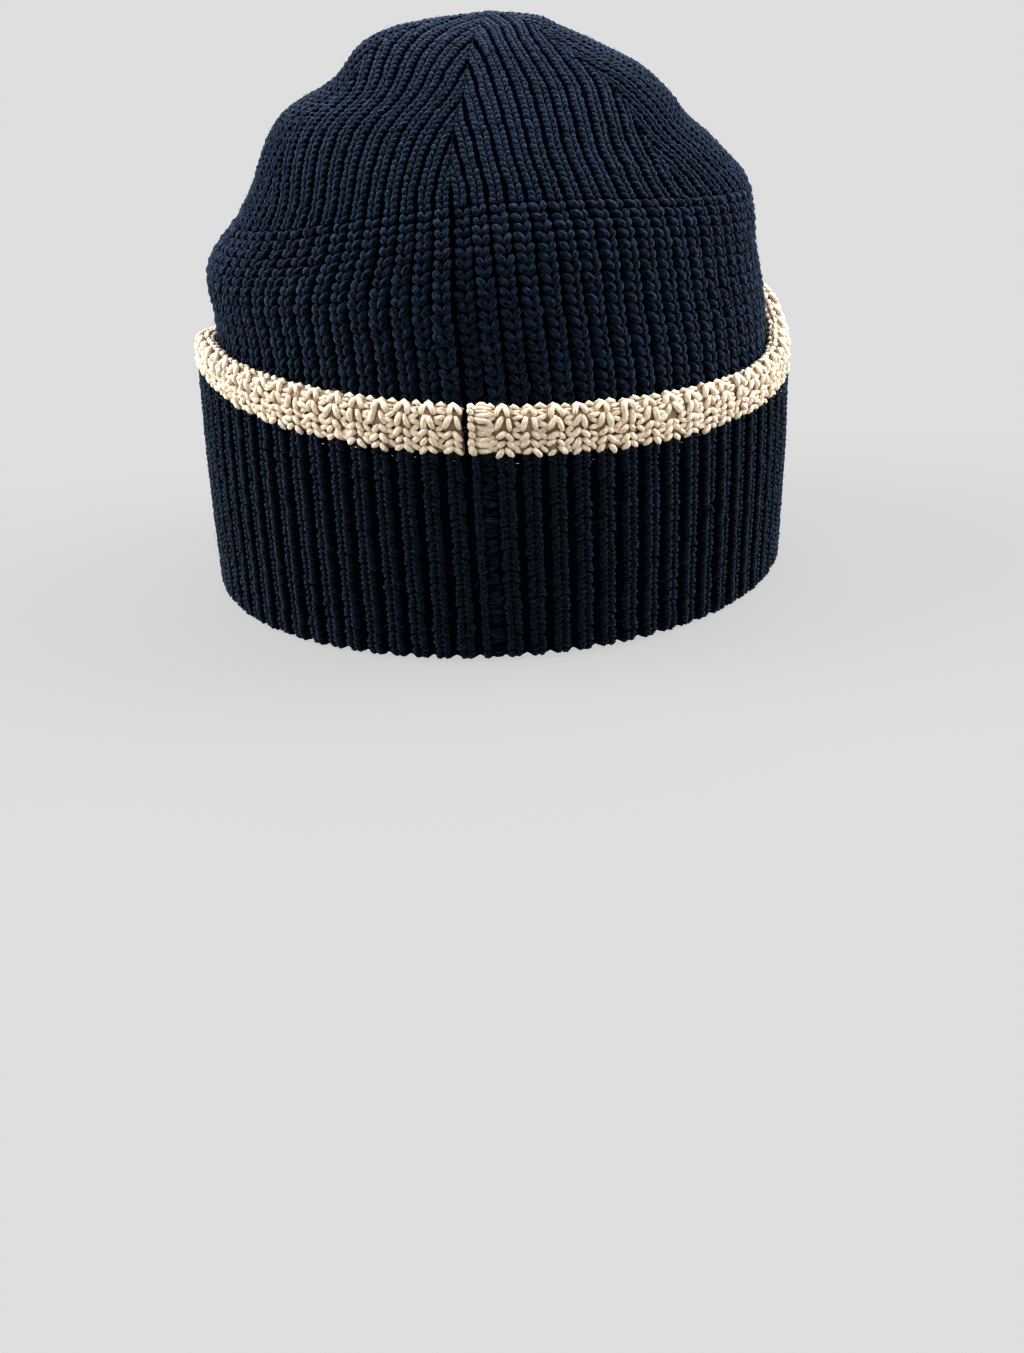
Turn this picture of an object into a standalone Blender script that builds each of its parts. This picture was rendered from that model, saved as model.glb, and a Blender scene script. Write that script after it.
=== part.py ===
"""A cuffed, rib-knit cotton hat: side wall, six-gore crown top, turned-up cuff and contrast edge.

Metres, +Z up. The rim lies flat on z = 0, and the back seam faces -Y.
Every surface is a stack of knit rings. A ring runs gore by gore, rib by rib, from the back seam.
"""

import bisect
import math

import bmesh
import bpy
from mathutils import Vector

# Overall form
CROWN_WIDTH = 0.163
CROWN_DEPTH = 0.192
CROWN_HEIGHT = 0.1675
KNIT_THICK = 0.0040

# Turned-up cuff and its contrast edge
CUFF_THICK = 0.0041
CUFF_BACK_HEIGHT = 0.0720
CUFF_FRONT_RISE = 0.0110
CUFF_SIDE_TILT = 0.0058  # how much higher the cuff stands at the left, and lower at the right
CUFF_FAR_TILT = 0.0032  # how much lower the front half stands at the left, and higher at the right
FAR_TILT_RANGE = (-0.30, 0.35)  # where one lean turns into the other, ahead of the middle, in half depths
CUFF_FLARE = 0.0018
RIM_ROUND = 0.0022
FOLD_HEIGHT = 0.0050
EDGE_HEIGHT = 0.0135
EDGE_SIDE_HEIGHT = 0.0096
EDGE_PROUD = 0.0004

# Line where the plain ribs of the crown top begin
TOP_START_BACK = 0.1230
TOP_START_SIDE = 0.1120
TOP_START_TILT = 0.0018  # how much higher it runs at the right, and lower at the left

# Ribs and gores
GORES = 6
RIBS_PER_GORE = 13
RIB_RELIEF = 0.0016
TOP_RELIEF = 0.0012
EDGE_RELIEF = 0.0013
DART_RELIEF = 0.0016
RIB_HOLD = 1.05  # how far the rib count outlasts the shrinking girth of the crown top
SHOULDERS = (0.27, 0.73)  # each rib's two shoulders, as shares of its width

# Spaces between pieces
JOINT_GAP = 0.0003
CUFF_CLEARANCE = 0.0005

# Mesh steps
INNER_STEPS = 8
FACING_STEPS = 13
TOP_RINGS = 9
LAST_RING = 0.965  # where the last ring of the crown top lies, as a share of the way to the apex
WALL_RINGS = (0.36, 0.68)  # rings between the cuff's edge and the crown top, as shares of the way

# The crown's outline, from the fold to the apex. height is a share of CROWN_HEIGHT. left, right
# and aside, the section's shift to the right, are shares of half of CROWN_WIDTH. back and front
# are shares of half of CROWN_DEPTH.
CROWN_SECTIONS = (
    {"height": 0.030, "left": 1.002, "right": 0.990, "back": 0.985, "front": 0.985, "aside": -0.010},
    {"height": 0.240, "left": 1.007, "right": 1.017, "back": 0.995, "front": 0.995, "aside": -0.010},
    {"height": 0.430, "left": 1.001, "right": 1.022, "back": 1.000, "front": 1.000, "aside": -0.010},
    {"height": 0.500, "left": 1.005, "right": 1.015, "back": 0.995, "front": 1.000, "aside": -0.010},
    {"height": 0.555, "left": 1.022, "right": 1.000, "back": 0.985, "front": 0.995, "aside": -0.010},
    {"height": 0.588, "left": 1.015, "right": 0.996, "back": 0.975, "front": 0.985, "aside": -0.010},
    {"height": 0.621, "left": 0.973, "right": 0.994, "back": 0.960, "front": 0.970, "aside": -0.010},
    {"height": 0.657, "left": 0.910, "right": 0.988, "back": 0.940, "front": 0.950, "aside": -0.010},
    {"height": 0.693, "left": 0.866, "right": 0.969, "back": 0.910, "front": 0.925, "aside": -0.010},
    {"height": 0.728, "left": 0.828, "right": 0.910, "back": 0.870, "front": 0.890, "aside": -0.010},
    {"height": 0.764, "left": 0.802, "right": 0.845, "back": 0.820, "front": 0.845, "aside": -0.010},
    {"height": 0.800, "left": 0.770, "right": 0.767, "back": 0.760, "front": 0.790, "aside": -0.010},
    {"height": 0.836, "left": 0.724, "right": 0.712, "back": 0.690, "front": 0.725, "aside": -0.005},
    {"height": 0.860, "left": 0.660, "right": 0.665, "back": 0.640, "front": 0.670, "aside": 0.000},
    {"height": 0.884, "left": 0.572, "right": 0.606, "back": 0.580, "front": 0.610, "aside": 0.010},
    {"height": 0.907, "left": 0.523, "right": 0.525, "back": 0.520, "front": 0.550, "aside": 0.020},
    {"height": 0.943, "left": 0.474, "right": 0.381, "back": 0.410, "front": 0.440, "aside": 0.030},
    {"height": 0.967, "left": 0.416, "right": 0.270, "back": 0.310, "front": 0.340, "aside": 0.040},
    {"height": 0.985, "left": 0.300, "right": 0.185, "back": 0.190, "front": 0.210, "aside": 0.050},
    {"height": 1.000, "left": 0.000, "right": 0.000, "back": 0.000, "front": 0.000, "aside": 0.052},
)

# How the ribs lie round the hat. seam is the azimuth of the back seam in degrees from +X, and
# bunch is how far the ribs beside it crowd towards it (below 0) or spread away from it, in degrees.
RIB_LAY = {
    "cuff": {"seam": -95.0, "bunch": -2.5},
    "wall": {"seam": -95.5, "bunch": -4.6},
    "top": {"seam": -97.2, "bunch": -5.5},
}

# The contrast edge's section. rise is a share of its height, and proud a share of EDGE_PROUD.
EDGE_SECTION = (
    {"rise": 0.02, "proud": 0.35},
    {"rise": 0.45, "proud": 1.00},
    {"rise": 0.86, "proud": 0.60},
)
EDGE_CREST = 0.55  # where the crest lies, as a share of the way from the inner face to the outer

LAST_ROW = len(CROWN_SECTIONS) - 1


def section_value(column, row):
    """A column of the crown's table at a row between its own, on a smooth curve."""
    first = min(max(int(row), 0), LAST_ROW - 1)
    step = row - first
    near = [CROWN_SECTIONS[min(max(first + k, 0), LAST_ROW)][column] for k in (-1, 0, 1, 2)]
    slope_in = (near[2] - near[0]) / 2
    slope_out = (near[3] - near[1]) / 2
    rise = near[2] - near[1]
    curve = (slope_in + slope_out - 2 * rise) * step + 3 * rise - 2 * slope_in - slope_out
    return ((curve * step) + slope_in) * step + near[1]


def row_of_height(height):
    """The row of the crown's table that lies at this height."""
    share = height / CROWN_HEIGHT
    heights = [section["height"] for section in CROWN_SECTIONS]
    if share <= heights[0]:
        return 0.0
    low = bisect.bisect_right(heights, min(share, 1.0 - 1e-9)) - 1
    high = low + 1.0
    for _ in range(30):
        middle = (low + high) / 2
        if section_value("height", middle) < share:
            low = middle
        else:
            high = middle
    return low


def half_axes(azimuth, row):
    """The section's half width and half depth on this azimuth's side, and its height."""
    side = "left" if math.cos(azimuth) < 0 else "right"
    face = "back" if math.sin(azimuth) < 0 else "front"
    return Vector((
        section_value(side, row) * CROWN_WIDTH / 2,
        section_value(face, row) * CROWN_DEPTH / 2,
        section_value("height", row) * CROWN_HEIGHT,
    ))


def aside(row):
    """How far the section at a row lies to the right of the hat's own axis."""
    return section_value("aside", row) * CROWN_WIDTH / 2


def crown_point(azimuth, row, outward):
    """A point on the crown's outer form, moved outward along the form's normal."""
    here = half_axes(azimuth, row)
    slope = half_axes(azimuth, min(row + 0.05, LAST_ROW)) - half_axes(azimuth, max(row - 0.05, 0.0))
    cosine, sine = math.cos(azimuth), math.sin(azimuth)
    normal = Vector((
        here.y * cosine * slope.z,
        here.x * sine * slope.z,
        -(here.x * slope.y * sine ** 2 + here.y * slope.x * cosine ** 2),
    ))
    point = Vector((aside(row) + here.x * cosine, here.y * sine, here.z))
    return point + normal.normalized() * outward


def wall_point(azimuth, height, outward):
    """A point level with this height, moved straight outward from the crown's outer form."""
    row = row_of_height(height)
    here = half_axes(azimuth, row)
    cosine, sine = math.cos(azimuth), math.sin(azimuth)
    normal = Vector((here.y * cosine, here.x * sine, 0.0)).normalized()
    return Vector((aside(row) + here.x * cosine, here.y * sine, height)) + normal * outward


def cuff_top(azimuth):
    """The height of the contrast edge's crest. It rises to the front, and leans across both halves."""
    rise = CUFF_FRONT_RISE * ((1 + math.sin(azimuth)) / 2) ** 2
    begin, end = FAR_TILT_RANGE
    ahead = min(max((math.sin(azimuth) - begin) / (end - begin), 0.0), 1.0)
    far = ahead * ahead * (3 - 2 * ahead)
    tilt = CUFF_FAR_TILT * far - CUFF_SIDE_TILT * (1 - far)
    return CUFF_BACK_HEIGHT + rise + tilt * math.cos(azimuth)


def edge_height(azimuth):
    """How tall the contrast edge is: least at the hat's two sides."""
    return EDGE_HEIGHT + (EDGE_SIDE_HEIGHT - EDGE_HEIGHT) * abs(math.cos(azimuth)) ** 3


def cuff_join(azimuth):
    """The height at which the navy cuff ends and the contrast edge begins."""
    return cuff_top(azimuth) - edge_height(azimuth)


def top_start(azimuth):
    """The height at which the crown top begins."""
    rise = (TOP_START_BACK - TOP_START_SIDE) * math.sin(azimuth) ** 2
    return TOP_START_SIDE + rise + TOP_START_TILT * math.cos(azimuth)


def lay_between(first, second, share):
    """A rib lay between two of the named ones."""
    a, b = RIB_LAY[first], RIB_LAY[second]
    return {key: a[key] + (b[key] - a[key]) * share for key in a}


def azimuth_of(turn, lay):
    """The azimuth at this share of a turn round the ribs, counted from the back seam."""
    return math.radians(
        lay["seam"] + 360 * turn + lay["bunch"] * math.sin(math.tau * turn)
    )


def rib_marks(kept=1.0):
    """Places across a gore: (ribs from its middle, kind), where kept is its share of ribs left."""
    half = RIBS_PER_GORE * kept / 2
    marks = []
    for rib in range(RIBS_PER_GORE + 1):
        groove = rib - RIBS_PER_GORE / 2
        marks.append((groove, "groove"))
        marks += [(groove + share, "shoulder") for share in SHOULDERS]
    inside = [mark for mark in marks if abs(mark[0]) < half - 0.12]
    end = "groove" if kept >= 1.0 else "dart"
    return [(-half, end), *inside, (half, end)]


def plain_marks(steps):
    """Even places across a gore, for a face without ribs."""
    return [(RIBS_PER_GORE * (k / steps - 0.5), "plain") for k in range(steps + 1)]


class Knit:
    """One closed piece, built ring by ring. A ring holds a chain of (place, vertex) for each gore."""

    def __init__(self):
        self.mesh = bmesh.new()

    def ring(self, marks, half, place):
        """A ring of vertices. place gives the point for a share of a turn and a kind of mark."""
        chains = []
        for gore in range(GORES):
            chain = []
            for across, kind in marks[:-1]:
                turn = (gore + 0.5 + across / (2 * half)) / GORES
                chain.append((across, self.mesh.verts.new(place(turn, kind))))
            chains.append(chain)
        for gore in range(GORES):
            chains[gore].append((marks[-1][0], chains[(gore + 1) % GORES][0][1]))
        return chains

    def rib_ring(self, place, kept=1.0):
        return self.ring(rib_marks(kept), RIBS_PER_GORE * kept / 2, place)

    def plain_ring(self, place, steps):
        return self.ring(plain_marks(steps), RIBS_PER_GORE / 2, place)

    def join(self, first, second):
        """Faces between two rings, matched by their places across each gore."""
        for lower, upper in zip(first, second):
            i = j = 0
            while i < len(lower) - 1 or j < len(upper) - 1:
                up_next = i == len(lower) - 1 or (
                    j < len(upper) - 1 and upper[j + 1][0] < lower[i + 1][0]
                )
                if up_next:
                    self.mesh.faces.new((lower[i][1], upper[j + 1][1], upper[j][1]))
                    j += 1
                else:
                    self.mesh.faces.new((lower[i][1], lower[i + 1][1], upper[j][1]))
                    i += 1

    def join_all(self, rings):
        for first, second in zip(rings, rings[1:]):
            self.join(first, second)

    def close(self, ring, point):
        """Faces from a ring to one point."""
        tip = self.mesh.verts.new(point)
        for chain in ring:
            for (_, a), (_, b) in zip(chain, chain[1:]):
                self.mesh.faces.new((a, b, tip))

    def finish(self, name, material, parent):
        bmesh.ops.recalc_face_normals(self.mesh, faces=self.mesh.faces)
        mesh = bpy.data.meshes.new(name)
        self.mesh.to_mesh(mesh)
        self.mesh.free()
        mesh.materials.append(material)
        mesh.shade_smooth()
        mesh.set_sharp_from_angle(angle=math.radians(50))
        piece = bpy.data.objects.new(name, mesh)
        piece.parent = parent
        bpy.context.scene.collection.objects.link(piece)
        return piece


def relief_of(kind, groove_depth):
    """How far a mark lies under the face of its rib."""
    return {"groove": groove_depth, "dart": DART_RELIEF, "shoulder": 0.0, "plain": 0.0}[kind]


def crown_ring_place(row_at, lay, outward, groove_depth):
    """A place function for a ring on the crown's form, at the row that row_at gives."""
    def place(turn, kind):
        azimuth = azimuth_of(turn, lay)
        return crown_point(azimuth, row_at(azimuth), outward - relief_of(kind, groove_depth))
    return place


def wall_ring_place(height_at, lay, outward, groove_depth=0.0):
    """A place function for a ring on an upright wall, at the height that height_at gives."""
    def place(turn, kind):
        azimuth = azimuth_of(turn, lay)
        return wall_point(azimuth, height_at(azimuth), outward - relief_of(kind, groove_depth))
    return place


def level(height):
    """A height function that is the same all the way round."""
    return lambda azimuth: height


def build_side_wall(material, parent):
    """The crown's ribbed wall, from inside the fold up to the crown top."""
    knit = Knit()
    wall = RIB_LAY["wall"]
    foot = FOLD_HEIGHT + JOINT_GAP

    def end_row(azimuth):
        return row_of_height(top_start(azimuth) - JOINT_GAP / 2)

    def height_up(share):
        """Heights between the cuff's crest and the crown top, as rows of the crown's table."""
        return lambda azimuth: row_of_height(
            cuff_top(azimuth) * (1 - share) + top_start(azimuth) * share
        )

    outer = [
        knit.plain_ring(wall_ring_place(level(foot), wall, 0.0), FACING_STEPS),
        knit.plain_ring(wall_ring_place(cuff_join, wall, 0.0), FACING_STEPS),
        knit.rib_ring(crown_ring_place(height_up(-0.08), wall, 0.0, RIB_RELIEF)),
    ]
    for share in WALL_RINGS:
        lay = lay_between("wall", "top", share)
        outer.append(knit.rib_ring(crown_ring_place(height_up(share), lay, 0.0, RIB_RELIEF)))
    outer.append(knit.rib_ring(crown_ring_place(end_row, RIB_LAY["top"], 0.0, RIB_RELIEF)))

    inner = [knit.plain_ring(
        crown_ring_place(end_row, RIB_LAY["top"], -KNIT_THICK, 0.0), INNER_STEPS
    )]
    for share in reversed(WALL_RINGS):
        lay = lay_between("wall", "top", share)
        inner.append(knit.plain_ring(
            crown_ring_place(height_up(share), lay, -KNIT_THICK, 0.0), INNER_STEPS
        ))
    inner.append(knit.plain_ring(wall_ring_place(cuff_join, wall, -KNIT_THICK), INNER_STEPS))
    inner.append(knit.plain_ring(wall_ring_place(level(foot), wall, -KNIT_THICK), INNER_STEPS))
    knit.join_all([*outer, *inner, outer[0]])
    return knit.finish("side_wall", material, parent)


def girth_share(row):
    """The crown's girth at a row, as a share of its girth where the crown top begins."""
    def girth(at):
        return sum(section_value(key, at) for key in ("left", "right", "back", "front"))
    return girth(row) / girth(row_of_height((TOP_START_BACK + TOP_START_SIDE) / 2))


def build_crown_top(material, parent):
    """The closed top. Its ribs stay the same width and end at the darts between the gores."""
    knit = Knit()
    lay = RIB_LAY["top"]

    def row_up(share):
        def row_at(azimuth):
            start = row_of_height(top_start(azimuth) + JOINT_GAP / 2)
            return start + (LAST_ROW - start) * share
        return row_at

    outer, inner = [], []
    for ring in range(TOP_RINGS + 1):
        share = LAST_RING * (ring / TOP_RINGS)
        kept = min(1.0, RIB_HOLD * girth_share(row_up(share)(math.pi / 4)))
        outer.append(knit.rib_ring(crown_ring_place(row_up(share), lay, 0.0, TOP_RELIEF), kept))
        inner.append(knit.plain_ring(
            crown_ring_place(row_up(share), lay, -KNIT_THICK, 0.0), INNER_STEPS
        ))
    knit.join_all([*reversed(outer), *inner])
    apex = Vector((aside(LAST_ROW), 0.0, CROWN_HEIGHT))
    knit.close(outer[-1], apex)
    knit.close(inner[-1], apex - Vector((0.0, 0.0, KNIT_THICK)))
    return knit.finish("crown_top", material, parent)


def build_cuff(material, parent):
    """The knit turned up outside the wall. Its fold passes under the wall and lies flat on z = 0."""
    knit = Knit()
    lay = RIB_LAY["cuff"]
    face = CUFF_CLEARANCE + CUFF_THICK

    def join(azimuth):
        return cuff_join(azimuth) - JOINT_GAP / 2

    outer = [
        knit.rib_ring(wall_ring_place(level(0.0), lay, face - RIM_ROUND, RIB_RELIEF / 2)),
        knit.rib_ring(wall_ring_place(level(RIM_ROUND), lay, face, RIB_RELIEF)),
        knit.rib_ring(wall_ring_place(join, lay, face + CUFF_FLARE, RIB_RELIEF)),
    ]
    inner = [
        knit.plain_ring(wall_ring_place(height, lay, outward), FACING_STEPS)
        for height, outward in (
            (join, CUFF_CLEARANCE),
            (level(FOLD_HEIGHT), CUFF_CLEARANCE),
            (level(FOLD_HEIGHT), -KNIT_THICK),
            (level(RIM_ROUND), -KNIT_THICK),
            (level(0.0), RIM_ROUND / 2 - KNIT_THICK),
        )
    ]
    knit.join_all([*outer, *inner, outer[0]])
    return knit.finish("cuff", material, parent)


def build_cuff_edge(material, parent):
    """The contrast edge along the top of the cuff, rounded over at its crest."""
    knit = Knit()
    lay = RIB_LAY["cuff"]
    face = CUFF_CLEARANCE + CUFF_THICK + CUFF_FLARE
    crest = CUFF_CLEARANCE + CUFF_THICK * EDGE_CREST

    def rise(share):
        return lambda azimuth: cuff_top(azimuth) - (edge_height(azimuth) - JOINT_GAP / 2) * (1 - share)

    outer = [
        knit.rib_ring(wall_ring_place(
            rise(row["rise"] if k else 0.0), lay, face + EDGE_PROUD * row["proud"], EDGE_RELIEF
        ))
        for k, row in enumerate(EDGE_SECTION)
    ]
    outer.append(knit.rib_ring(wall_ring_place(rise(1.0), lay, crest, 0.0)))
    inner = [
        knit.plain_ring(wall_ring_place(rise(share), lay, CUFF_CLEARANCE), FACING_STEPS)
        for share in (EDGE_SECTION[-1]["rise"], 0.0)
    ]
    knit.join_all([*outer, *inner, outer[0]])
    return knit.finish("cuff_edge", material, parent)


def cloth(name, colour, roughness):
    material = bpy.data.materials.new(name)
    material.use_nodes = True
    shader = material.node_tree.nodes["Principled BSDF"]
    shader.inputs["Base Color"].default_value = (*colour, 1.0)
    shader.inputs["Roughness"].default_value = roughness
    shader.inputs["Metallic"].default_value = 0.0
    material.diffuse_color = (*colour, 1.0)
    return material


def main():
    for piece in list(bpy.data.objects):
        bpy.data.objects.remove(piece)
    navy = cloth("navy_knit", (0.012, 0.018, 0.040), 0.92)
    cream = cloth("cream_knit", (0.56, 0.45, 0.31), 0.90)
    hat = bpy.data.objects.new("hat", None)
    bpy.context.scene.collection.objects.link(hat)
    build_side_wall(navy, hat)
    build_crown_top(navy, hat)
    build_cuff(navy, hat)
    build_cuff_edge(cream, hat)


main()
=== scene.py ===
"""Looks of a cuffed, rib-knit cotton hat, seen from behind its back seam.

Metres, +Z up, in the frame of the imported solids. Each stitch is a short bean of yarn, laid out in
ribs and rows and then carried onto the hat's surface, so that stitches follow every form of it.
"""

import math

import bpy
import numpy as np
from mathutils import Matrix, Vector


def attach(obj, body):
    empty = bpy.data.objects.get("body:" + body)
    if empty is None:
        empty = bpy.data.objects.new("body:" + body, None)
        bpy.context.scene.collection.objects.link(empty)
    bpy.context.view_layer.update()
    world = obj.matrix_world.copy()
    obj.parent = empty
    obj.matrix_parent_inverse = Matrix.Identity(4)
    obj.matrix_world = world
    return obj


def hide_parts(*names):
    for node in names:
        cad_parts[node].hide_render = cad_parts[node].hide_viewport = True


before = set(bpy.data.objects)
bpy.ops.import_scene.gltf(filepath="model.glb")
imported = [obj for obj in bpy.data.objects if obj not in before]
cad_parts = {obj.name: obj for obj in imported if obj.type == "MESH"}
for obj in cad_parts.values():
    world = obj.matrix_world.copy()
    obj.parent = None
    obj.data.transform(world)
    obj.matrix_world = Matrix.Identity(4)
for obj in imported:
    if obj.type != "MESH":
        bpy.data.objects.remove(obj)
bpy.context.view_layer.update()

MM = 0.001

# Overall form, as in the solids
CROWN_WIDTH = 0.163
CROWN_DEPTH = 0.192
CROWN_HEIGHT = 0.1675
KNIT_THICK = 0.0040
CUFF_THICK = 0.0041
CUFF_BACK_HEIGHT = 0.0720
CUFF_FRONT_RISE = 0.0110
CUFF_SIDE_TILT = 0.0058
CUFF_FAR_TILT = 0.0032
FAR_TILT_RANGE = (-0.30, 0.35)
CUFF_FLARE = 0.0018
CUFF_CLEARANCE = 0.0005
EDGE_HEIGHT = 0.0135
EDGE_SIDE_HEIGHT = 0.0096
EDGE_PROUD = 0.0004
TOP_START_BACK = 0.1230
TOP_START_SIDE = 0.1120
TOP_START_TILT = 0.0018
FOLD_HEIGHT = 0.0050
GORES = 6
RIBS_PER_GORE = 13
RIBS = GORES * RIBS_PER_GORE
RIB_HOLD = 1.05

# The crown's outline, from the fold to the apex, in shares of the sizes above
COLUMNS = ("height", "left", "right", "back", "front", "aside")
CROWN_SECTIONS = np.array((
    (0.030, 1.002, 0.990, 0.985, 0.985, -0.010),
    (0.240, 1.007, 1.017, 0.995, 0.995, -0.010),
    (0.430, 1.001, 1.022, 1.000, 1.000, -0.010),
    (0.500, 1.005, 1.015, 0.995, 1.000, -0.010),
    (0.555, 1.022, 1.000, 0.985, 0.995, -0.010),
    (0.588, 1.015, 0.996, 0.975, 0.985, -0.010),
    (0.621, 0.973, 0.994, 0.960, 0.970, -0.010),
    (0.657, 0.910, 0.988, 0.940, 0.950, -0.010),
    (0.693, 0.866, 0.969, 0.910, 0.925, -0.010),
    (0.728, 0.828, 0.910, 0.870, 0.890, -0.010),
    (0.764, 0.802, 0.845, 0.820, 0.845, -0.010),
    (0.800, 0.770, 0.767, 0.760, 0.790, -0.010),
    (0.836, 0.724, 0.712, 0.690, 0.725, -0.005),
    (0.860, 0.660, 0.665, 0.640, 0.670, 0.000),
    (0.884, 0.572, 0.606, 0.580, 0.610, 0.010),
    (0.907, 0.523, 0.525, 0.520, 0.550, 0.020),
    (0.943, 0.474, 0.381, 0.410, 0.440, 0.030),
    (0.967, 0.416, 0.270, 0.310, 0.340, 0.040),
    (0.985, 0.300, 0.185, 0.190, 0.210, 0.050),
    (1.000, 0.000, 0.000, 0.000, 0.000, 0.052),
))
LAST_ROW = len(CROWN_SECTIONS) - 1

# How the ribs lie: the seam's azimuth and the crowding beside it, in degrees
RIB_LAY = {"cuff": (-95.0, -2.5), "wall": (-95.5, -4.6), "top": (-97.2, -5.5)}

# Ribs and rows
RIB_PITCH = 0.0060      # a rib's width at the crown's back, which its stitch shapes are drawn for
CUFF_RIB_PITCH = 0.0064
WALL_PITCH = 0.00293    # height of a row on the side wall
WALL_ROWS = 26
TOP_PITCH = 0.00195     # height that the crown top's stitches are drawn for
TOP_ROWS = 51
TOP_LENGTH = 0.1        # about how long the cloth of the crown top is, up to the apex
CUFF_PITCH = 0.00155
CUFF_ROWS = 52
EDGE_PITCH = 0.00228    # height of a row of the edge's inverted Vs
EDGE_ROWS = 3
ROW_MIDDLE = 0.36       # where the middle of such a row lies, as a share of it
STEEP_ROW = 0.0086      # middle of the row of steep stitches above them
LOOP_CROWN = 0.0140     # where the loops of the edge's last row turn, up its face
BAR_PITCH = 0.00170     # from bar to bar between the edge's ribs
BAR_RANGE = (0.0017, 0.0150)
BAR_SINK = 0.6          # how much deeper, in mm, the bars lie at the crest
BAR_SINK_RANGE = (0.0095, 0.0145)
CREST_BAR_PITCH = 0.0021
CREST_BAR_RANGE = (0.0161, 0.0270)
DOT_LEVEL = -0.0016     # pale specks of the edge's yarn, just under it

# How the stitches stray from their places
WANDER = {"wall": 0.00010, "top": 0.00020, "cuff": 0.00010}
WALL_OVERLAP = 0.0008   # how far the wall's stitches may reach past the crown top's start
DART_OVERLAP = 0.42     # how far past a dart's line the middle of a rib may lie, in ribs
SEAM_LIFT = 0.0005      # how proud the rib left of the crown's seam stands, and how sunk its mate
SEAM_PUSH = (0.02, 0.07)  # how far each of the two is pushed to the left and to the right, in ribs

# A small knot left of the seam: the rib and the length along the cloth of each of its strands
KNOT = np.array(((-0.95, -0.0362), (-0.80, -0.0368), (-1.05, -0.0372)))
KNOT_SIZE = 0.7
KNOT_PROUD = 0.0007

# The cloth under the stitches
CLOTH_DROP = {  # how far it lies under the form at the middle of a rib, and how much deeper in a groove
    "wall": (0.0012, 0.0018),
    "top": (0.0011, 0.0009),
    "cuff": (0.0013, 0.0013),
    "edge": (0.0014, 0.0012),
}
COLUMNS_PER_RIB = 5
INNER_RELIEF = 0.0004   # relief of the ribs on the knit's inner face
ROW_RELIEF = 0.0003     # relief of the rows there
WALL_LENGTH = 0.115     # from the crown top's start down into the fold
WALL_RINGS = 34
WALL_LOW = 0.0055       # height of the wall's lower end, inside the fold
TOP_RINGS = np.concatenate((np.linspace(0, 0.9, 50), (0.93, 0.96, 0.985)))
APEX_DROP = 0.0012
DART_REACH = 0.7        # how far from a dart its groove reaches, in ribs
RIM_RADIUS = 0.0034
RIM_LEVELS = (-0.75, -0.35, 0.1, 0.5, 0.8)  # the rim's rings, in shares of RIM_RADIUS
RIM_DROP = 0.45         # how much of the cuff's drop the rim has
RIM_LOWEST = 0.0002
RIM_INSIDE = ((0.0022, 0.0002), (0.0006, 0.0015))  # height, and how far out, of its two inner rings
CUFF_RINGS = 17
LOWEST_DASH = -0.0030   # how far round the rim the cuff's dashes go
EDGE_INSIDE_DROP = 0.0002

# Lengths of yarn, a row for each point along them. The columns are x, y, out, across and thick. x is
# in ribs and y, up the cloth, in rows, unless a comment says mm. out is in mm from the hat's form, and
# across and thick are the yarn's half sizes in mm.
WALL_LEFT = (
    (-0.34, 0.40, -1.75, 0.84, 0.75),
    (-0.25, 0.16, -0.90, 1.18, 0.95),
    (-0.13, -0.12, -0.55, 1.22, 0.95),
    (-0.01, -0.36, -0.80, 0.90, 0.75),
)
WALL_RIGHT = (
    (0.32, 0.48, -1.75, 0.74, 0.75),
    (0.27, 0.18, -0.90, 1.06, 0.95),
    (0.20, -0.14, -0.60, 1.06, 0.95),
    (0.10, -0.46, -0.95, 0.72, 0.75),
)
TOP_LEFT = (
    (-0.28, 0.56, -1.05, 0.74, 0.54),
    (-0.20, 0.02, -0.55, 1.00, 0.70),
    (-0.09, -0.54, -0.80, 0.80, 0.54),
)
TOP_RIGHT = (
    (0.27, 0.58, -1.05, 0.72, 0.54),
    (0.20, 0.02, -0.55, 0.98, 0.70),
    (0.11, -0.56, -0.82, 0.78, 0.54),
)
CUFF_DASH = (
    (0.05, 0.36, -0.70, 0.60, 0.52),
    (0.16, 0.02, -0.46, 0.84, 0.72),
    (0.28, -0.36, -0.98, 0.64, 0.52),
)
EDGE_LEG = (
    (0.05, 0.42, -0.95, 0.66, 0.65),
    (0.14, 0.15, -0.62, 0.87, 0.90),
    (0.23, -0.14, -0.66, 0.87, 0.90),
    (0.32, -0.42, -1.20, 0.66, 0.65),
)
EDGE_STEEP = (  # y in mm
    (0.09, 1.9, -1.00, 0.62, 0.65),
    (0.15, 0.7, -0.64, 0.84, 0.85),
    (0.20, -0.6, -0.64, 0.86, 0.85),
    (0.26, -1.8, -1.15, 0.62, 0.65),
)
EDGE_LOOP = (  # y in mm
    (-0.24, -3.2, -1.20, 0.66, 0.85),
    (-0.21, -1.8, -0.70, 0.82, 0.85),
    (-0.14, -0.5, -0.58, 0.88, 0.85),
    (0.00, 0.3, -0.50, 0.92, 0.85),
    (0.14, -0.5, -0.58, 0.88, 0.85),
    (0.21, -1.8, -0.70, 0.82, 0.85),
    (0.24, -3.2, -1.20, 0.66, 0.85),
)
EDGE_BAR = (  # y in mm
    (-0.17, -0.60, -1.45, 0.60, 0.70),
    (-0.06, -0.20, -1.12, 0.84, 0.70),
    (0.06, 0.20, -1.12, 0.84, 0.70),
    (0.17, 0.60, -1.45, 0.60, 0.70),
)
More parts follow.
